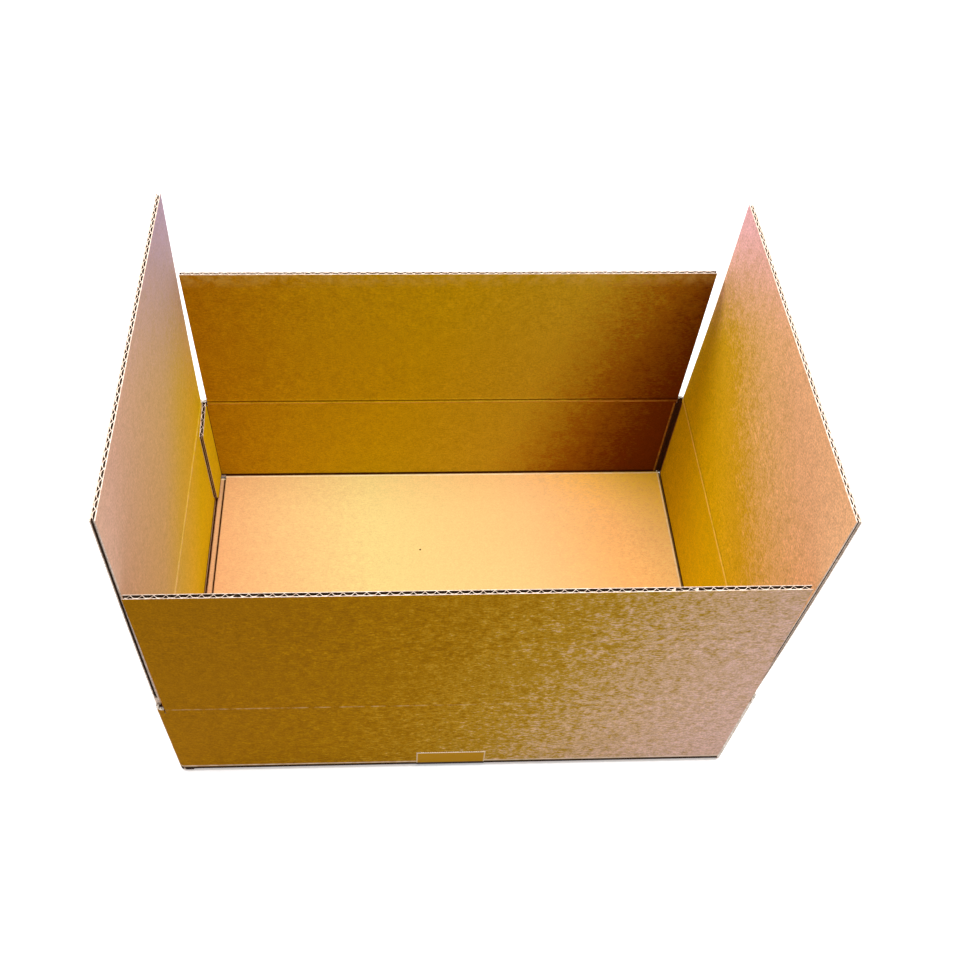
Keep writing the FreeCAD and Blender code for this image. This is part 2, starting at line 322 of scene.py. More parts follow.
# Its browns run from dark ochre at the upper left to pale mauve at the lower right, which paints the light
# falling from the right.
outside_front = kraft_liner(
    "kraft liner outside front",
    [(0.0, "#986502"), (0.3, "#a27102"), (0.44, "#ab7e19"), (0.56, "#af8723"), (0.7, "#c19c6d"),
     (1.0, "#cfaa9a")],
    (-120, -132, 150), (190, -132, 66), flecks=1.1, mottle=1.2, lines=[crease_line, *bottom_fold])
outside_back = kraft_liner(
    "kraft liner outside back", [(0.0, "#ab7a26"), (1.0, "#b68a46")],
    (-190, 132, 0), (190, 132, 230), lines=[crease_line, *bottom_fold])
outside_end = kraft_liner(
    "kraft liner outside ends", [(0.0, "#ab7a26"), (1.0, "#b98f50")],
    (0, -130, 0), (0, 130, 290), grain="Y", ribs="Y",
    # A pale line of wear and painted highlight at the crease and above the bottom fold, and painted shade
    # under the fold.
    lines=[("Z", 102.2, 0.9, 0.6, wear_and_highlight), ("Z", 4.2, 1.4, 1.1, wear_and_highlight), ("Z", 0.8, 1.9, 1.6, painted_fold_shade)])
# Its browns darken steeply towards the right end along a slanted line, which paints the right flap's shadow
# on the back, and a little towards the left end, which paints shade there.
inside_back = kraft_liner(
    "kraft liner inside back",
    [(0.0, "#b17805"), (0.25, "#bc950b"), (0.45, "#bf9d06"), (0.68, "#bc9c20"), (0.8, "#95620b"),
     (0.92, "#693203")],
    (-190, 129, 230), (215, 129, 120), flecks=0.25,
    # A paler band along the flap's top edge; at the crease a pale line of painted highlight below a dark line
    # of painted shade; and the painted shade of the foot.
    lines=[("Z", 228.0, 10.0, 0.5, "#cdb05c"), ("Z", 96.9, 1.0, 0.9, "#d8a650"),
           ("Z", 99.4, 1.0, 1.4, painted_shade), foot])
inside_front = kraft_liner(
    "kraft liner inside front", [(0.0, "#c08c1c"), (1.0, "#c6962c")], (-190, -129, 0), (190, -129, 230))
# Mustard near the crease and pinkish tan higher up, with a lilac veil at the upper back: painted shade near
# the crease and painted light above.
inside_left = kraft_liner(
    "kraft liner inside left",
    [(0.0, "#dcbd13"), (0.13, "#debc3a"), (0.3, "#d8ba54"), (0.5, "#d6b781"), (0.75, "#d7b48e"),
     (1.0, "#d4ad98")],
    (-190, 125, 110), (-190, -47, 320), grain="Y", ribs="Y", flecks=0.16, mottle=0.8,
    # A pale line along the crease, which paints the light on its bead, and the painted shade of the foot.
    lines=[("Z", 100.2, 2.4, 0.5, "#e8c4a0"), foot],
    painted_light_veils=[((-190, 20, 210), (-190, 125, 310), "#b69fb4")])
# Mustard low at the back and pinkish tan towards the top and front, with a pink veil at the upper back:
# painted shade near the crease and the back corner, and painted light above.
inside_right = kraft_liner(
    "kraft liner inside right",
    [(0.0, "#d5b302"), (0.3, "#d1aa02"), (0.55, "#cba020"), (0.8, "#daab6f"), (1.0, "#dfab7f")],
    (190, 120, 80), (192, 10, 290), grain="Y", ribs="Y", flecks=0.5, mottle=1.3,
    painted_light_veils=[((190, 60, 225), (190, 125, 295), "#dea9ac")],
    # At the crease a golden line of painted highlight below a dark line of painted shade, and the painted
    # shade of the foot.
    lines=[("Z", 100.8, 1.0, 1.0, "#f0c060"), ("Z", 103.9, 1.2, 0.9, "#8a5c08"), foot])
# The floor's browns are paler than the walls' and grow brighter and more orange to the right, with a yellow
# veil at the back right: painted light, which also makes up for the right flap's shadow there.
floor_liner = kraft_liner(
    "kraft liner floor",
    [(0.0, "#e3ad7d"), (0.35, "#e0cc87"), (0.72, "#eab97d"), (0.86, "#fbc079"), (1.0, "#ffd688")],
    (-190, 60, 6), (190, 110, 6), flecks=0.2, mottle=0.45, specks=[(-19.4, 50.0, 6.3, 0.8)],
    painted_light_veils=[((150, 60, 6), (200, 135, 6), "#ffcc36")],
    # Dark lines of painted shade and shadow in the gaps and corners along the floor's edges, then two pale
    # lines near its back and right edges.
    lines=[("X", -184.3, 1.5, 2.0, painted_shade), ("X", -190.0, 1.6, 2.0, painted_shade),
           ("X", 190.2, 1.5, 2.0, painted_shade), ("Y", 129.2, 1.4, 2.0, painted_shade),
           ("Y", 127.3, 0.9, 1.0, "#fff0cc"), ("X", 188.2, 0.8, 1.0, "#fff0cc")])
under_liner = kraft_liner(
    "kraft liner underside", [(0.0, "#ab7a26"), (1.0, "#b68a46")],
    (-190, -130, 0), (190, 130, 0), grain="Y", ribs="Y")
print("liners:", sum(material.name.startswith("kraft liner") for material in bpy.data.materials))

# %% [markdown]
# ## Layers of paper
#
# A corrugated board is three sheets of paper. Each starts here as a flat grid that stands upright: X runs
# across the flutes, Z along them and Y through the board, with Y = 0 on the outside. The wave is the same
# grid with its points moved to a leaning cosine. Solidify then gives each sheet its thickness.

# %% Make one layer, and one board
OUTSIDE, INSIDE, CUT, FLUTE = range(4)      # a board's materials, in this order
columns_per_wave = 12


def fluted(along, half_turn):
    """How far the wave is from its middle, from -1 to 1. A knife drags it, so it leans, and its outer folds
    are pressed wide while its inner ones stay narrow."""
    dragged, pressed_wide = 0.4, 1.7
    angle = 2 * math.pi * along / pitch + half_turn
    height = 0.5 + 0.5 * math.cos(angle + dragged * math.sin(angle))
    return 2 * height ** pressed_wide - 1


def paper_layer(bm, width, height, columns, rows, thickness, through, wave=0.0, inset=0.0, half_turn=0.0):
    """Adds a sheet of paper whose outer face is at Y = through."""
    points = bmesh.ops.create_grid(bm, x_segments=columns, y_segments=rows, size=0.5)["verts"]
    bmesh.ops.scale(bm, vec=(width - 2 * inset, height, 1), verts=points)
    bmesh.ops.rotate(bm, cent=(0, 0, 0), matrix=Matrix.Rotation(math.pi / 2, 3, "X"), verts=points)
    bmesh.ops.translate(bm, vec=(width / 2, through, height / 2), verts=points)
    for point in points:
        point.co.y += wave * fluted(point.co.x - width / 2, half_turn) if wave else 0.0
    faces = list({face for point in points for face in point.link_faces})
    bmesh.ops.solidify(bm, geom=faces, thickness=thickness)


def corrugated(bm, width, height, rows=6, wave_inset=1.6 * mm, plain_columns=24, half_turn=0.0, paper=1.0):
    """A board of three layers, with each face given its finish. Paper makes its sheets thicker."""
    skin, medium = liner * paper, wave_paper * paper
    wave_columns = int(round((width - 2 * wave_inset) / pitch * columns_per_wave))
    paper_layer(bm, width, height, plain_columns, rows, skin, 0.0)
    paper_layer(bm, width, height, plain_columns, rows, skin, board - skin)
    swing = (board - 2 * skin - medium) / 2
    short = 0.1 * mm        # the wave stops short of the liners' cut
    wave_faces = set(bm.faces)
    paper_layer(bm, width, height - short, wave_columns, rows, medium, board / 2 - medium / 2, swing,
                wave_inset, half_turn)
    wave_faces = set(bm.faces) - wave_faces
    bm.normal_update()
    bmesh.ops.recalc_face_normals(bm, faces=bm.faces[:])
    for face in bm.faces:
        middle = face.calc_center_median().y
        if face in wave_faces:
            face.material_index = CUT if abs(face.normal.z) > 0.7 or abs(face.normal.x) > 0.9 else FLUTE
        elif abs(face.normal.y) < 0.5:
            face.material_index = CUT
        elif middle < skin / 4:
            face.material_index = OUTSIDE
        elif middle > board - skin / 4:
            face.material_index = INSIDE
        else:
            face.material_index = FLUTE


def finish_piece(bm, name, materials):
    """Turns a bmesh into a piece with its materials."""
    mesh = bpy.data.meshes.new(name)
    bm.to_mesh(mesh)
    bm.free()
    for material in materials:
        mesh.materials.append(material)
    piece = bpy.data.objects.new(name, mesh)
    bpy.context.scene.collection.objects.link(piece)
    print(name, "faces", len(mesh.polygons))
    return piece


print("columns across a wave:", columns_per_wave)

# %% [markdown]
# ## Where each flap stands
#
# A flap is built upright with its hinge line on the X axis, tipped by its own lean in degrees, and then
# turned to its side of the box. The four differ in width, reach and lean, in how thick their paper is drawn,
# and in the depth of the crease's groove, the bow, the dents and the inset of the wave, which are in mm.

# %% The four flaps' sizes
span_front = (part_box("front_flap")[0].x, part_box("front_flap")[1].x)
span_back = (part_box("back_flap")[0].x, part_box("back_flap")[1].x)
half_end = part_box("left_flap")[1].y
sides = {
    "front": dict(turn=0, at=(span_front[0], -half_depth, crease_z), width=span_front[1] - span_front[0],
                  reach=132.0 * mm, lean=0.6, faces=(outside_front, inside_front),
                  dents=(61.8, 74.8, 301.0, 313.6)),
    "back": dict(turn=180, at=(span_back[1], half_depth, crease_z), width=span_back[1] - span_back[0],
                 reach=132.0 * mm, lean=0.6, faces=(outside_back, inside_back), paper=1.4),
    "left": dict(turn=-90, at=(-half_length, half_end, end_crease_z), width=2 * half_end,
                 reach=197.0 * mm, lean=1.2, faces=(outside_end, inside_left), paper=1.5, groove=0.5,
                 bow=-0.6),
    "right": dict(turn=90, at=(half_length, -half_end, end_crease_z), width=2 * half_end,
                  reach=188.0 * mm, lean=-1.0, faces=(outside_end, inside_right), inset=0.3,
                  half_turn=math.pi, paper=1.7, groove=0.8, bow=-1.4),
}


def stand(bm, side):
    """Turns a bmesh built on the X axis to its side of the box."""
    place = Matrix.Translation(side["at"]) @ Matrix.Rotation(math.radians(side["turn"]), 4, "Z")
    bmesh.ops.transform(bm, matrix=place, verts=bm.verts)


print("flap widths, mm:", {key: round(side["width"] / mm, 1) for key, side in sides.items()})

# %% [markdown]
# ## The four top flaps
#
# Each flap is corrugated board from the top of its crushed crease to its cut edge. A real flap isn't quite
# flat, so its points get a very slow bow that dies out towards the crease. The front and back flaps bow
# inward, and the end flaps outward, so that these still lie clear on the others when the box is shut.

# %% Make the flaps
dent_half_width, dent_depth = 2.4 * mm, 1.5 * mm    # where the front flap's cut edge is crushed
ragged = 0.2 * mm                                   # how far the knife left the top edge uneven


def make_flap(key):
    side = sides[key]
    bm = bmesh.new()
    height = side["reach"] - crease_reach
    corrugated(bm, side["width"], height, wave_inset=side.get("inset", 1.6) * mm, plain_columns=120,
               half_turn=side.get("half_turn", 0.0), paper=side.get("paper", 1.0))
    for point in bm.verts:
        for dent in side.get("dents", ()):
            near = math.exp(-((point.co.x - dent * mm) / dent_half_width) ** 2
                            - ((height - point.co.z) / dent_depth) ** 2)
            if 1.1 * liner < point.co.y < board - 1.1 * liner:      # only the wave gives way
                point.co.y += (board - 1.5 * liner - point.co.y) * near
        x, z = point.co.x / side["width"], point.co.z / height
        bow = (0.5 + 0.5 * noise.noise(Vector((x * 2.5, z * 1.5, len(key))))) * side.get("bow", 0.45) * mm
        point.co.y += bow * (min(1.0, 2 * z) if bow > 0 else 4 * z * (1 - z))
        if z > 0.999:
            point.co.z -= ragged * abs(noise.noise(Vector((point.co.x * 400, point.co.y * 300, 3))))
    bmesh.ops.translate(bm, vec=(0, 0, crease_reach), verts=bm.verts)
    lean = Matrix.Rotation(math.radians(-side["lean"]), 3, "X")
    bmesh.ops.rotate(bm, cent=(0, 0, 0), matrix=lean, verts=bm.verts)
    stand(bm, side)
    piece = finish_piece(bm, key + "_flap_board", [*side["faces"], cut_liner, fluting])
    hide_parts(key + "_flap")
    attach(piece, key + "_flap")


for key in sides:
    make_flap(key)

# %% [markdown]
# ## The creases
#
# A crease is pressed into the board from the inside, which crushes the wave and leaves a groove with a
# low bead on each side.

# %% Make the creases
crease_rows = 22
groove_width = 0.55                                         # these six are in mm
bead_height, bead_place, bead_width = 0.22, 1.7, 0.7
outer_dent, outer_width = 0.16, 0.5


def smoothstep(t):
    t = min(1.0, max(0.0, t))
    return t * t * (3 - 2 * t)


def make_crease(key):
    side = sides[key]
    bm = bmesh.new()
    paper_layer(bm, side["width"], 2 * crease_reach, 12, crease_rows, board, 0.0)
    bm.normal_update()
    bmesh.ops.recalc_face_normals(bm, faces=bm.faces[:])
    for face in bm.faces:
        middle = face.calc_center_median().y
        if abs(face.normal.y) < 0.5:
            face.material_index = CUT
        else:
            face.material_index = OUTSIDE if middle < board / 2 else INSIDE
    for point in bm.verts:
        point.co.z -= crease_reach
        off = point.co.z / mm
        if point.co.y > board / 2:
            groove = side.get("groove", 1.1) * math.exp(-(off / groove_width) ** 2)
            bead = bead_height * math.exp(-((abs(off) - bead_place) / bead_width) ** 2)
            point.co.y += (bead - groove) * mm
        else:
            point.co.y += outer_dent * mm * math.exp(-(off / outer_width) ** 2)
        turned = -side["lean"] * smoothstep(off * mm / (2 * crease_reach) + 0.5)
        point.co = Matrix.Rotation(math.radians(turned), 3, "X") @ point.co
    stand(bm, side)
    piece = finish_piece(bm, key + "_crease", [*side["faces"], cut_liner])
    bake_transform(piece)


for key in sides:
    make_crease(key)

# %% [markdown]
# ## The walls
#
# The four walls are one strip of board folded at the corners. The plan starts as a plain rectangle whose
# corners are rounded by bevel. Inset then draws the inner face one board in, extrude raises the walls, and
# bisect cuts them where their height changes: low under a crease, higher at the corners.

# %% The sizes of the folded sheet
floor_span = (-183.5 * mm, 189.7 * mm)      # the two inner bottom flaps, from end to end
half_under = 129.5 * mm                     # half the width of the two outer bottom flaps
inner_base, outer_base = 3.3 * mm, 0.1 * mm
floor_top = inner_base + board
slot = 0.6 * mm                             # cut out beside each crease
wall_top = crease_z - crease_reach
inner_x, inner_y = half_length - board, half_depth - board
tab_x, tab_front, tab_drop, tab_cut = -inner_x, 100.0 * mm, 6.0 * mm, 8.0 * mm
tiny = 0.001 * mm                           # nearer than this is the same place
sheet_finishes = [outside_front, outside_back, outside_end, inside_front, inside_back, inside_left,
                  inside_right, floor_liner, under_liner, cut_liner, fluting, score_shadow, score_bead,
                  torn_flutes, lit_worn_corner]
print("inside, mm:", round(2 * inner_x / mm, 1), "x", round(2 * inner_y / mm, 1))

# %% Draw the plan of the walls and crush the corners
corner_radius = 4.0 * mm
fold_steps = [distance * mm for distance in (0.5, 1.0, 1.6, 2.2, 2.8, 3.4, 4.0, 4.8, 5.6)]


def crush(distance):
    """How far the inner liner is pushed into a corner's fold, with a bead beside the groove."""
    d = distance / mm
    groove = 1.15 * math.exp(-(d / 1.9) ** 2)
    bead = 0.28 * math.exp(-((d - 3.6) / 0.7) ** 2)
    return (groove - bead) * mm


def cut_across(bm, axis, places):
    """Cuts the whole mesh at places along one axis, without taking anything off."""
    normal = Vector([axis == name for name in "XYZ"])
    for place in places:
        everything = bm.verts[:] + bm.edges[:] + bm.faces[:]
        bmesh.ops.bisect_plane(bm, geom=everything, plane_co=normal * place, plane_no=normal, dist=1e-7)


def wall_plan():
    """A flat ring: the walls seen from above, their corners crushed except where the sheet is glued."""
    bm = bmesh.new()
    corners = bmesh.ops.create_grid(bm, x_segments=1, y_segments=1, size=0.5)["verts"]
    bmesh.ops.scale(bm, vec=(2 * half_length, 2 * half_depth, 1), verts=corners)
    bmesh.ops.bevel(bm, geom=corners, offset=corner_radius, offset_type="OFFSET", segments=6, profile=0.5,
                    affect="VERTICES", material=-1)
    ring = bmesh.ops.inset_region(bm, faces=bm.faces[:], thickness=board, use_boundary=True,
                                  use_even_offset=True)["faces"]
    bmesh.ops.delete(bm, geom=[face for face in bm.faces if face not in ring], context="FACES")
    cut_across(bm, "X", [sign * (inner_x - step) for sign in (-1, 1) for step in fold_steps])
    cut_across(bm, "Y", [sign * (inner_y - step) for sign in (-1, 1) for step in fold_steps])
    cut_across(bm, "X", [floor_span[0], floor_span[1], span_front[0] - slot, span_front[1] + slot,
                         span_back[0] - slot, span_back[1] + slot])
    cut_across(bm, "Y", [-half_under, half_under, -half_end - slot, half_end + slot])
    same = 0.02 * mm
    for point in bm.verts:
        off_end, off_side = inner_x - abs(point.co.x), inner_y - abs(point.co.y)
        is_inner = -same < min(off_end, off_side) < 1.0 * mm and max(off_end, off_side) < 6 * mm
        at_tab = point.co.x < 0 < point.co.y
        if is_inner and not at_tab:
            if off_side < off_end + same:
                point.co.y += math.copysign(crush(off_end), point.co.y)
            if off_end < off_side + same:
                point.co.x += math.copysign(crush(off_side), point.co.x)
    return bm


def move_faces(bm, faces, by):
    """Extrudes faces by a vector and takes the old ones off."""
    made = bmesh.ops.extrude_face_region(bm, geom=faces)["geom"]
    bmesh.ops.translate(bm, vec=by, verts=[item for item in made if isinstance(item, bmesh.types.BMVert)])
    bmesh.ops.delete(bm, geom=[face for face in faces if face.is_valid], context="FACES")


plan = wall_plan()
print("plan:", len(plan.faces), "faces")

# %% Open the plan at the glued corner, then raise the walls
def open_glued_corner(bm):
    """The left wall ends in a plain cut there, and the back wall folds inside it."""
    fold = Vector((tab_x + board, inner_y, 0))
    cut_y = inner_y - 1.0 * mm
    to_end = board + 0.8 * mm       # the left wall goes on to 0.2 mm short of the back wall's outside

    def open_edges(at):
        return [edge for edge in bm.edges if len(edge.link_faces) == 1 and all(at(v.co) for v in edge.verts)]

    cut_across(bm, "X", [fold.x])
    cut_across(bm, "Y", [cut_y])
    gone = [face for face in bm.faces if face.calc_center_median().x < fold.x
            and face.calc_center_median().y > cut_y]
    bmesh.ops.delete(bm, geom=gone, context="FACES")
    ends = open_edges(lambda co: abs(co.y - cut_y) < tiny and co.x < fold.x)
    made = bmesh.ops.extrude_edge_only(bm, edges=ends)["geom"]
    bmesh.ops.translate(bm, vec=(0, to_end, 0), verts=[v for v in made if isinstance(v, bmesh.types.BMVert)])
    bend = open_edges(lambda co: abs(co.x - fold.x) < tiny and co.y > inner_y - 0.1 * mm)
    bmesh.ops.spin(bm, geom=bend + list({v for edge in bend for v in edge.verts}), cent=fold,
                   axis=(0, 0, 1), angle=math.pi / 2, steps=6, use_merge=False)
    bmesh.ops.remove_doubles(bm, verts=bm.verts[:], dist=0.01 * mm)


def wall_height(face):
    """How high the wall stands at a face of the plan."""
    middle = face.calc_center_median()
    if abs(middle.y) > inner_y:
        low, high = span_front if middle.y < 0 else span_back
        return wall_top if low - slot < middle.x < high + slot else crease_z
    return end_crease_z - crease_reach if abs(middle.y) < half_end + slot else crease_z


def wall_foot(face):
    """How low it reaches, which is down to the bottom flap that it folds into."""
    middle = face.calc_center_median()
    if abs(middle.y) > inner_y and floor_span[0] < middle.x < floor_span[1]:
        return floor_top
    return inner_base if abs(middle.y) > half_under else outer_base + board


def by_level(faces, level):
    """Sorts faces into groups of the same level."""
    groups = {}
    for face in faces:
        groups.setdefault(round(level(face), 6), []).append(face)
    return groups


def raise_walls(bm):
    """Extrudes the plan to its lowest top, then each part on to its own top and down to its own foot."""
    bmesh.ops.translate(bm, vec=(0, 0, floor_top), verts=bm.verts)
    bottoms = bm.faces[:]
    feet = by_level(bottoms, wall_foot)
    made = bmesh.ops.extrude_face_region(bm, geom=bottoms)["geom"]
    bmesh.ops.translate(bm, vec=(0, 0, wall_top - floor_top),
                        verts=[item for item in made if isinstance(item, bmesh.types.BMVert)])
    tops = by_level([item for item in made if isinstance(item, bmesh.types.BMFace)], wall_height)
    for top, faces in tops.items():
        if top > wall_top + tiny:
            move_faces(bm, faces, (0, 0, top - wall_top))
    for low, faces in feet.items():
        if low < floor_top - tiny:
            move_faces(bm, faces, (0, 0, low - floor_top))


open_glued_corner(plan)
raise_walls(plan)
print("walls:", len(plan.faces), "faces, open edges:", sum(len(e.link_faces) != 2 for e in plan.edges))

# %% [markdown]
# ## The glue tab and the bottom flaps
#
# The tab is the end of the sheet, cut at a slant and glued inside the left wall, so the wave shows along its
# top. It is the same board as a flap, with its points slid up or down to the slanted cuts. The bottom flaps
# are plain boards whose fold is rounded with bevel, and inset and extrude open the groove that shows where a
# knife ran along a flute.

# %% Make the glue tab
def add_glue_tab(bm):
    width, low, top = inner_y - tab_front, floor_top + 0.2 * mm, crease_z - 1.0 * mm
    cut_from = 0.86             # the lower corner is cut off over the last part of the width
    tab = bmesh.new()
    corrugated(tab, width, 1.0, rows=1, wave_inset=1.0 * mm)
    for point in tab.verts:
        across = point.co.x / width
        bottom = low + tab_cut * max(0.0, (across - cut_from) / (1 - cut_from))
        point.co.z = bottom + point.co.z * (top - tab_drop * across - bottom)
    place = Matrix.Translation((tab_x, inner_y, 0)) @ Matrix.Rotation(-math.pi / 2, 4, "Z")
    bmesh.ops.transform(tab, matrix=place, verts=tab.verts)
    finish = {OUTSIDE: outside_end, INSIDE: inside_left, CUT: cut_liner, FLUTE: fluting}
    for face in tab.faces:
        face.material_index = sheet_finishes.index(finish[face.material_index])
    mesh = bpy.data.meshes.new("tab")
    tab.to_mesh(mesh)
    tab.free()
    bm.from_mesh(mesh)
    bpy.data.meshes.remove(mesh)


print("glue tab, mm:", round((inner_y - tab_front) / mm, 1), "from the back wall")

# %% Make the bottom flaps
fold_radius, knife_groove = 2.0 * mm, 2.0 * mm


def add_bottom_flap(bm, low, high, fold):
    """A board from its low to its high corner. Fold is the (x, y) direction of the wall it folds from."""
    before = set(bm.verts)
    bmesh.ops.create_cube(bm, size=1.0)
    points = [v for v in bm.verts if v not in before]
    size = Vector(high) - Vector(low)
    bmesh.ops.scale(bm, vec=size, verts=points)
    bmesh.ops.translate(bm, vec=(Vector(low) + Vector(high)) / 2, verts=points)
    axis, across = (0, 1) if fold[0] else (1, 0)
    outer = (high if fold[axis] > 0 else low)[axis]
    faces = {face for point in points for face in point.link_faces}
    for end in (low[across], high[across]):
        side = [face for face in faces
                if face.is_valid and all(abs(v.co[across] - end) < tiny for v in face.verts)]
        bmesh.ops.inset_region(bm, faces=side, thickness=liner, use_boundary=True, use_even_offset=True)
        inward = Vector((0, 0, 0))
        inward[across] = math.copysign(knife_groove, -end)
        move_faces(bm, side, inward)
    edge = [e for e in bm.edges if e.verts[0] not in before and
            all(abs(v.co[axis] - outer) < tiny and abs(v.co.z - low[2]) < tiny for v in e.verts)]
    bmesh.ops.bevel(bm, geom=edge, offset=fold_radius, offset_type="OFFSET", segments=5, profile=0.5,
                    affect="EDGES", material=-1)


print("bottom flaps from", round(outer_base / mm, 1), "to", round(floor_top / mm, 1), "mm up")

# %% Choose the finish of each face, and finish the sheet
corner_shadow, back_right_shadow, bead = 2.7 * mm, 4.2 * mm, 1.2 * mm
tab_shadow = (3.6 * mm, 2.4 * mm)       # along the back wall and along the left wall
half_seam = 0.5 * mm                    # half the slit between two bottom flaps that meet


def sheet_finish(face):
    """Which finish a face of the folded sheet has, from its place and the way it faces."""
    at, n = face.calc_center_median(), face.normal
    if abs(n.z) > 0.8:
        if n.z > 0:
            inside_floor = abs(at.x) < inner_x and abs(at.y) < inner_y and at.z < 2 * floor_top
            return floor_liner if inside_floor else torn_flutes
        return under_liner if at.z < floor_top else cut_liner
    is_flat_end = max(abs(n.x), abs(n.y)) > 0.99 and abs(at.x) < inner_x
    if at.z < floor_top and is_flat_end and abs(at.y) < half_depth - 10 * tiny:
        return cut_liner
    if abs(at.x) > inner_x + 0.6 * board or abs(at.y) > inner_y + 0.6 * board or at.z < floor_top:
        # The rounded outer corners on the right get the pale corner tone of wear and painted highlight.
        if at.x > 0 and min(abs(n.x), abs(n.y)) > 0.1 and abs(n.z) < 0.1:
            return lit_worn_corner
        if abs(n.x) > abs(n.y):
            return outside_end
        return outside_front if at.y < 0 else outside_back
    off = Vector((inner_x - abs(at.x), inner_y - abs(at.y)))
    at_tab = at.x < 0 < at.y
    shadow = back_right_shadow if at.x > 0 and abs(n.y) > abs(n.x) else corner_shadow
    # Faces in an inner corner get the score's painted shade, and the next ones the bead's painted light and
    # shade.
    if max(off) < shadow or (at_tab and off.x < tab_shadow[0] and off.y < tab_shadow[1]):
        return score_shadow
    if max(off) < shadow + bead and not at_tab:
        return score_bead
    if abs(n.x) > abs(n.y):
        return inside_left if at.x < 0 else inside_right
    return inside_front if at.y < 0 else inside_back


def make_sheet(bm):
    for sign in (-1, 1):
        y = sorted((sign * half_depth, sign * half_seam))
        add_bottom_flap(bm, (floor_span[0], y[0], inner_base), (floor_span[1], y[1], floor_top), (0, sign))
        x = sorted((sign * half_length, sign * half_seam))
        add_bottom_flap(bm, (x[0], -half_under, outer_base), (x[1], half_under, outer_base + board),
                        (sign, 0))
    bm.normal_update()
    bmesh.ops.recalc_face_normals(bm, faces=bm.faces[:])
    for face in bm.faces:
        face.material_index = sheet_finishes.index(sheet_finish(face))
    add_glue_tab(bm)
    piece = finish_piece(bm, "box_sheet", sheet_finishes)
    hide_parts("box_body")
    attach(piece, "box")


make_sheet(plan)

# %% [markdown]
# ## The packing tape
#
# One strip of brown tape holds the bottom flaps shut and climbs the walls at both ends, where the dispenser's
# teeth cut it. It starts as a flat grid, is laid along its path under the box, and the end points are moved
# in and out to make the teeth.

# %% Make the tape's film
tape_low, tape_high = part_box("bottom_tape")
torn_z = (23.2 * mm, 23.8 * mm)     # the film gets paler between these heights
# The darker band round the fold is painted shade.
fold_z = (8.2 * mm, 7.2 * mm)       # and darker between these, where it goes round the fold
pale_side = 1.0 * mm


def film(name, colour, frayed):
    """Brown polypropylene tape: a smooth, slightly glossy film over the kraft, paler along its torn teeth,
    and darker round the bottom fold, which is painted shade.
    """
    material, tree, shader = new_material(name)
    place = add_node(tree, "ShaderNodeTexCoord").outputs["Object"]
    axes = add_node(tree, "ShaderNodeSeparateXYZ", {"Vector": place}).outputs
    middle, half_width = (tape_low.x + tape_high.x) / 2, (tape_high.x - tape_low.x) / 2
    end = add_node(tree, "ShaderNodeMapRange", {"Value": axes["Z"], "From Min": torn_z[0],
                                                "From Max": torn_z[1]}).outputs[0]
    off = add_node(tree, "ShaderNodeMath", {0: axes["X"], 1: middle}, operation="SUBTRACT").outputs[0]
    off = add_node(tree, "ShaderNodeMath", {0: off}, operation="ABSOLUTE").outputs[0]
    side = add_node(tree, "ShaderNodeMapRange", {"Value": off, "From Min": half_width - pale_side,
                                                 "From Max": half_width, "To Max": 0.6}).outputs[0]
    rim = add_node(tree, "ShaderNodeMath", {0: end, 1: side}, operation="MAXIMUM").outputs[0]
    fold = add_node(tree, "ShaderNodeMapRange", {"Value": axes["Z"], "From Min": fold_z[0],
                                                 "From Max": fold_z[1]}).outputs[0]
    tone = linear(colour)
    for factor, code in ((rim, frayed), (fold, painted_fold_shade)):
        tone = add_node(tree, "ShaderNodeMix", {"Factor": factor, colour_a: tone, colour_b: linear(code)},
                        data_type="RGBA").outputs[mixed]
    tree.links.new(tone, shader.inputs["Base Color"])
    wrinkle = add_node(tree, "ShaderNodeTexNoise", {"Vector": place, "Scale": 1 / (9 * mm),
                                                    "Detail": 2.0}).outputs[0]
    bump = add_node(tree, "ShaderNodeBump", {"Height": wrinkle, "Strength": 0.5, "Distance": 0.4 * mm})
    tree.links.new(bump.outputs[0], shader.inputs["Normal"])
    shader.inputs["Roughness"].default_value = 0.4
    shader.inputs["Specular IOR Level"].default_value = 0.01
    return material


tape_film = film("polypropylene tape", "#b28006", "#fff4e0")
print("film:", tape_film.name)

# %% Make the tape
tape_skin = 0.1 * mm
wall_foot_z = 4.55 * mm             # where the tape leaves the wall for the underside
columns, rows = 60, 120
tooth, uneven = 0.7 * mm, 0.5 * mm


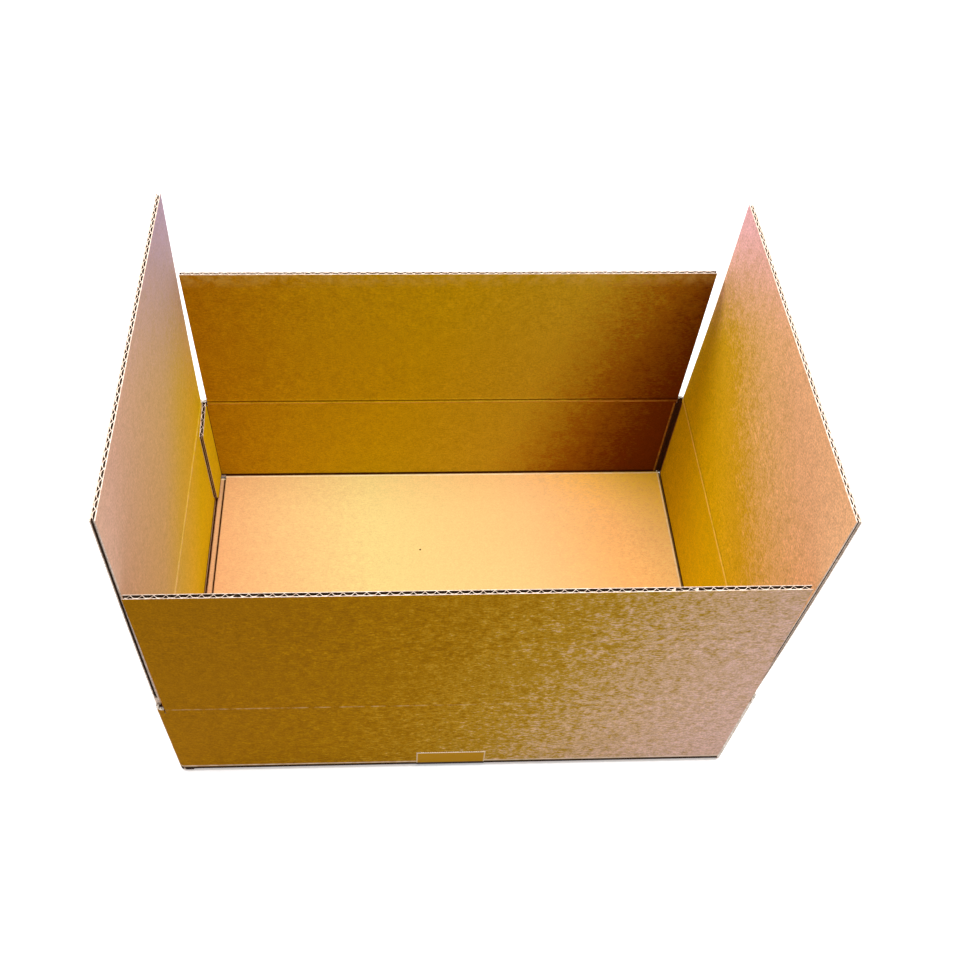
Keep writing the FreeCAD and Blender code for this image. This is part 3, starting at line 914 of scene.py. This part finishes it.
def packing_tape():
    path = [(-half_depth, tape_high.z), (-half_depth, wall_foot_z), (-half_under, tape_skin),
            (half_under, tape_skin), (half_depth, wall_foot_z), (half_depth, tape_high.z)]
    lengths = [math.dist(a, b) for a, b in zip(path, path[1:])]
    knots = [sum(lengths[:i]) for i in range(len(path))]
    whole, width = sum(lengths), tape_high.x - tape_low.x
    bm = bmesh.new()
    points = bmesh.ops.create_grid(bm, x_segments=columns, y_segments=rows, size=0.5)["verts"]
    bmesh.ops.scale(bm, vec=(width, whole, 1), verts=points)
    bmesh.ops.translate(bm, vec=((tape_low.x + tape_high.x) / 2, whole / 2, 0), verts=points)

    # The row of points nearest to each turn of the path is moved on to it.
    row_step = whole / rows
    for knot in knots[1:-1]:
        row = round(knot / row_step) * row_step
        for point in points:
            if abs(point.co.y - row) < row_step / 3:
                point.co.y = knot

    # Then every other point of both ends is drawn in to make the teeth, and the strip is laid on its path.
    for point in points:
        column = round((point.co.x - tape_low.x) / width * columns)
        along = min(max(point.co.y, 0.0), whole)
        if along < tiny or along > whole - tiny:
            drawn_in = tooth * (column % 2) + uneven * (noise.noise(Vector((column * 0.3, 0, 0))) + 0.5)
            along = along + drawn_in if along < whole / 2 else whole - drawn_in
        span = max(i for i in range(len(lengths)) if along >= knots[i] - 1e-9)
        t = (along - knots[span]) / lengths[span]
        (y0, z0), (y1, z1) = path[span], path[span + 1]
        point.co = Vector((point.co.x, y0 + (y1 - y0) * t, z0 + (z1 - z0) * t))
    bm.normal_update()
    bmesh.ops.recalc_face_normals(bm, faces=bm.faces[:])
    bm.normal_update()
    side = 1 if sum(face.normal.z for face in bm.faces) < 0 else -1
    bmesh.ops.solidify(bm, geom=bm.faces[:], thickness=-side * tape_skin * 0.9)
    bm.normal_update()
    bmesh.ops.recalc_face_normals(bm, faces=bm.faces[:])
    piece = finish_piece(bm, "packing_tape", [tape_film])
    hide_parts("bottom_tape")
    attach(piece, "box")


packing_tape()

# %% [markdown]
# ## The floor, the backdrop and the light
#
# The box stands on a plain white sheet. Part of the sheet's white is its own glow, which only the camera and
# reflections see, so that it stays white in the picture and still shows the box's shadow. The glow is weak
# near the box, where the lamps are bright, and grows with the distance. Three soft lamps light the box: one
# high on the right, which lets the right flap's shadow fall on the back, one straight above that fills the
# inside, and one behind on the left for the inside of the right flap.

# %% Lay the floor
def seen_directly(tree):
    """1 for what the camera sees, also in a reflection or through glass, and 0 for what lights the box."""
    rays = add_node(tree, "ShaderNodeLightPath").outputs
    seen = rays["Is Camera Ray"]
    for kind in ("Is Glossy Ray", "Is Transmission Ray"):
        seen = add_node(tree, "ShaderNodeMath", {0: seen, 1: rays[kind]}, operation="MAXIMUM").outputs[0]
    return seen


def white_sheet(name, near, far):
    """White paper that glows where it is seen. Near and far are (distance from the box, glow)."""
    material, tree, shader = new_material(name)
    place = add_node(tree, "ShaderNodeTexCoord").outputs["Object"]
    reach = add_node(tree, "ShaderNodeVectorMath", {0: place}, operation="LENGTH").outputs["Value"]
    white = add_node(tree, "ShaderNodeMapRange", {"Value": reach, "From Min": near[0], "From Max": far[0],
                                                  "To Min": near[1], "To Max": far[1]}).outputs[0]
    glow = add_node(tree, "ShaderNodeMath", {0: seen_directly(tree), 1: white},
                    operation="MULTIPLY").outputs[0]
    tree.links.new(glow, shader.inputs["Emission Strength"])
    shader.inputs["Emission Color"].default_value = linear("#ffffff")
    shader.inputs["Base Color"].default_value = linear("#f1f1f3")
    shader.inputs["Roughness"].default_value = 0.95
    shader.inputs["Specular IOR Level"].default_value = 0.1
    return material


floor_mesh = bpy.data.meshes.new("floor")
floor_mesh.materials.append(white_sheet("white paper sheet", (0.4, 0.32), (2.4, 0.9)))
bm = bmesh.new()
bmesh.ops.create_grid(bm, x_segments=1, y_segments=1, size=8.0)
bmesh.ops.translate(bm, vec=(0, 0, -0.05 * mm), verts=bm.verts)
bm.to_mesh(floor_mesh)
bm.free()
floor = bpy.data.objects.new("floor", floor_mesh)
bpy.context.scene.collection.objects.link(floor)
print("floor, m:", round(floor.dimensions.x, 1))

# %% Make the backdrop
fill_light, white_background = 0.45, 1.0
world = bpy.data.worlds.new("world")
bpy.context.scene.world = world
world.use_nodes = True
tree = world.node_tree
tree.nodes.clear()
strength = add_node(tree, "ShaderNodeMapRange", {"Value": seen_directly(tree), "To Min": fill_light,
                                                 "To Max": white_background}).outputs[0]
sky = add_node(tree, "ShaderNodeBackground", {"Color": linear("#ffffff"), "Strength": strength})
add_node(tree, "ShaderNodeOutputWorld", {"Surface": sky.outputs[0]})
print("backdrop:", world.name)


# %% Hang the lamps
def soft_lamp(name, place, size, watts):
    """A round lamp that points at the middle of the box."""
    lamp = bpy.data.lights.new(name, "AREA")
    lamp.shape = "DISK"
    lamp.size = size
    lamp.energy = watts
    holder = bpy.data.objects.new(name, lamp)
    toward = Vector((0, 0, 0.1)) - Vector(place)
    holder.matrix_world = Matrix.Translation(place) @ toward.to_track_quat("-Z", "Y").to_matrix().to_4x4()
    bpy.context.scene.collection.objects.link(holder)


soft_lamp("right lamp", (0.5, -0.25, 1.55), 0.5, 14)
soft_lamp("overhead lamp", (0.0, 0.0, 1.8), 0.9, 15)
soft_lamp("left back lamp", (-1.2, 0.8, 1.3), 0.9, 22)
bpy.context.scene.view_settings.view_transform = "Standard"
print("lamps:", ", ".join(lamp.name for lamp in bpy.data.lights))
